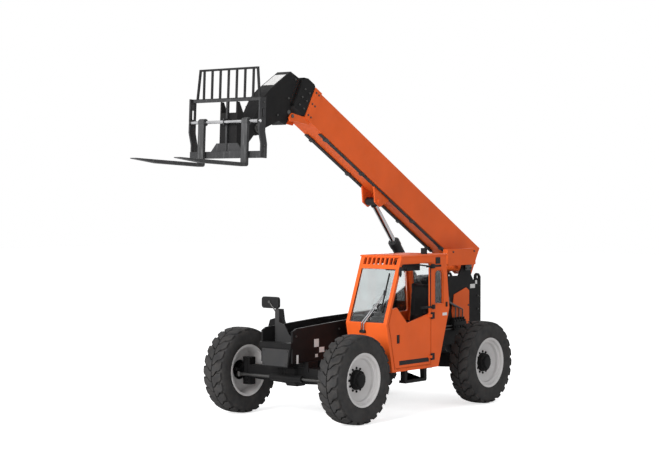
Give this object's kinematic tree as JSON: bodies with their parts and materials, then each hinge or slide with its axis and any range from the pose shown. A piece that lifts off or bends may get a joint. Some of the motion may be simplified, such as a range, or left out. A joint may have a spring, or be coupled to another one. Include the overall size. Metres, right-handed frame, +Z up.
{
  "type": "telehandler",
  "caption": "Rough-terrain telehandler with a raised telescoping boom, pallet fork carriage, offset operator cab, side engine hood and steered axles with lugged tyres.",
  "frame": {"origin": "middle of the bottom of the machine's box, on the ground under the tyres", "axes": "+X forwards to the fork tips, +Y to the machine's left (the cab side), +Z up"},
  "size_m": [7.528, 2.575, 5.0883],
  "materials": {
    "orange_paint": "gloss orange paint",
    "black_paint": "satin black paint",
    "engine_iron": "dark cast iron",
    "black_plastic": "moulded black plastic",
    "dark_steel": "heat-darkened steel",
    "seat_cover": "black vinyl cover",
    "window_glass": "clear tinted glass",
    "grey_steel": "worn dark grey paint",
    "bright_steel": "ground and plated steel",
    "cylinder_paint": "black paint",
    "rim_paint": "grey wheel paint",
    "tyre_rubber": "matt black rubber"
  },
  "bodies": {
    "chassis": {"cab_console": "black_plastic", "cab_floor": "black_paint", "cab_front": "orange_paint", "cab_glass": "window_glass", "cab_left": "orange_paint", "cab_mounts": "black_paint", "cab_rear": "orange_paint", "cab_right": "orange_paint", "cab_roof": "orange_paint", "cab_seat": "seat_cover", "cab_steering": "black_plastic", "cab_step": "black_paint", "cab_trim": "black_plastic", "engine_block": "engine_iron", "engine_cradle": "black_paint", "engine_hood": "black_paint", "exhaust_stack": "dark_steel", "front_axle": "black_paint", "main_frame": "black_paint", "mirror_head": "black_plastic", "mirror_post": "black_paint", "oil_tank": "black_paint", "pivot_cover": "orange_paint", "rear_axle": "black_paint", "side_cover": "orange_paint"},
    "door": {"cab_door": "orange_paint"},
    "boom": {"boom_outer": "orange_paint", "boom_lines": "grey_steel"},
    "boom_middle": {"boom_mid": "orange_paint", "mid_collar": "black_paint"},
    "boom_head": {"boom_fly": "orange_paint", "boom_nose": "black_paint"},
    "carriage": {"coupler": "black_paint", "carriage_frame": "grey_steel", "fork_shaft": "bright_steel"},
    "left_fork": {"fork_left": "grey_steel"},
    "right_fork": {"fork_right": "grey_steel"},
    "lift_cylinder": {"lift_barrel": "cylinder_paint"},
    "lift_piston": {"lift_rod": "bright_steel"},
    "front_steer_rod": {"steer_rod_front": "dark_steel"},
    "rear_steer_rod": {"steer_rod_rear": "dark_steel"},
    "knuckle_body_fl": {"knuckle_fl": "black_paint"},
    "wheel_fl": {"rim_fl": "rim_paint", "tyre_fl": "tyre_rubber"},
    "knuckle_body_fr": {"knuckle_fr": "black_paint"},
    "wheel_fr": {"rim_fr": "rim_paint", "tyre_fr": "tyre_rubber"},
    "knuckle_body_rl": {"knuckle_rl": "black_paint"},
    "wheel_rl": {"rim_rl": "rim_paint", "tyre_rl": "tyre_rubber"},
    "knuckle_body_rr": {"knuckle_rr": "black_paint"},
    "wheel_rr": {"rim_rr": "rim_paint", "tyre_rr": "tyre_rubber"}
  },
  "joints": [
    {"name": "door_hinge", "type": "hinge", "parent": "chassis", "child": "door", "pos_m": [-0.89731, 1.224, 1.09999], "axis": [0, 0, 1], "range_deg": [0, 110]},
    {"name": "boom_lift", "type": "hinge", "parent": "chassis", "child": "boom", "pos_m": [-3.20031, 0, 2.11299], "axis": [0, -1, 0], "range_deg": [-38.5, 39.5]},
    {"name": "boom_extend", "type": "slide", "parent": "boom", "child": "boom_middle", "axis": [0.8695, 0, 0.4939], "range_m": [0, 3.45]},
    {"name": "head_extend", "type": "slide", "parent": "boom_middle", "child": "boom_head", "axis": [0.8695, 0, 0.4939], "range_m": [0, 3.45]},
    {"name": "fork_tilt", "type": "hinge", "parent": "boom_head", "child": "carriage", "pos_m": [1.86744, 0, 4.24201], "axis": [0, 1, 0], "range_deg": [-40, 75]},
    {"name": "left_fork_shift", "type": "slide", "parent": "carriage", "child": "left_fork", "axis": [0, 1, 0], "range_m": [-0.33, 0.17]},
    {"name": "right_fork_shift", "type": "slide", "parent": "carriage", "child": "right_fork", "axis": [0, -1, 0], "range_m": [-0.33, 0.17]},
    {"name": "lift_swing", "type": "hinge", "parent": "chassis", "child": "lift_cylinder", "pos_m": [-3.25401, 0, 0.62839], "axis": [0, -1, 0], "range_deg": [-25.6, 26.3]},
    {"name": "lift_stroke", "type": "slide", "parent": "lift_cylinder", "child": "lift_piston", "axis": [0.6561, 0, 0.7547], "range_m": [-0.745, 0.765]},
    {"name": "steer_fl", "type": "hinge", "parent": "chassis", "child": "knuckle_body_fl", "pos_m": [0.83269, 0.97, 0.64999], "axis": [0, 0, 1], "range_deg": [-38, 38]},
    {"name": "steer_fr", "type": "hinge", "parent": "chassis", "child": "knuckle_body_fr", "pos_m": [0.83269, -0.97, 0.64999], "axis": [0, 0, 1], "range_deg": [-38, 38]},
    {"name": "front_steer_stroke", "type": "slide", "parent": "chassis", "child": "front_steer_rod", "axis": [0, 1, 0], "range_m": [-0.15, 0.15]},
    {"name": "steer_rl", "type": "hinge", "parent": "chassis", "child": "knuckle_body_rl", "pos_m": [-2.41731, 0.97, 0.64999], "axis": [0, 0, 1], "range_deg": [-38, 38]},
    {"name": "steer_rr", "type": "hinge", "parent": "chassis", "child": "knuckle_body_rr", "pos_m": [-2.41731, -0.97, 0.64999], "axis": [0, 0, 1], "range_deg": [-38, 38]},
    {"name": "rear_steer_stroke", "type": "slide", "parent": "chassis", "child": "rear_steer_rod", "axis": [0, 1, 0], "range_m": [-0.15, 0.15]},
    {"name": "spin_fl", "type": "hinge", "parent": "knuckle_body_fl", "child": "wheel_fl", "pos_m": [0.83269, 1.1, 0.64999], "axis": [0, 1, 0], "continuous": true},
    {"name": "spin_fr", "type": "hinge", "parent": "knuckle_body_fr", "child": "wheel_fr", "pos_m": [0.83269, -1.1, 0.64999], "axis": [0, 1, 0], "continuous": true},
    {"name": "spin_rl", "type": "hinge", "parent": "knuckle_body_rl", "child": "wheel_rl", "pos_m": [-2.41731, 1.1, 0.64999], "axis": [0, 1, 0], "continuous": true},
    {"name": "spin_rr", "type": "hinge", "parent": "knuckle_body_rr", "child": "wheel_rr", "pos_m": [-2.41731, -1.1, 0.64999], "axis": [0, 1, 0], "continuous": true}
  ],
  "couplings": [
    {"joint": "head_extend", "follows": "boom_extend", "ratio": 1},
    {"joint": "lift_swing", "follows": "boom_lift", "ratio": 0.6608},
    {"joint": "lift_stroke", "follows": "boom_lift", "m_per_rad": 1.0944},
    {"joint": "steer_fr", "follows": "steer_fl", "ratio": 1},
    {"joint": "steer_rr", "follows": "steer_rl", "ratio": 1},
    {"joint": "front_steer_stroke", "follows": "steer_fl", "m_per_rad": 0.21},
    {"joint": "rear_steer_stroke", "follows": "steer_rl", "m_per_rad": -0.21}
  ]
}
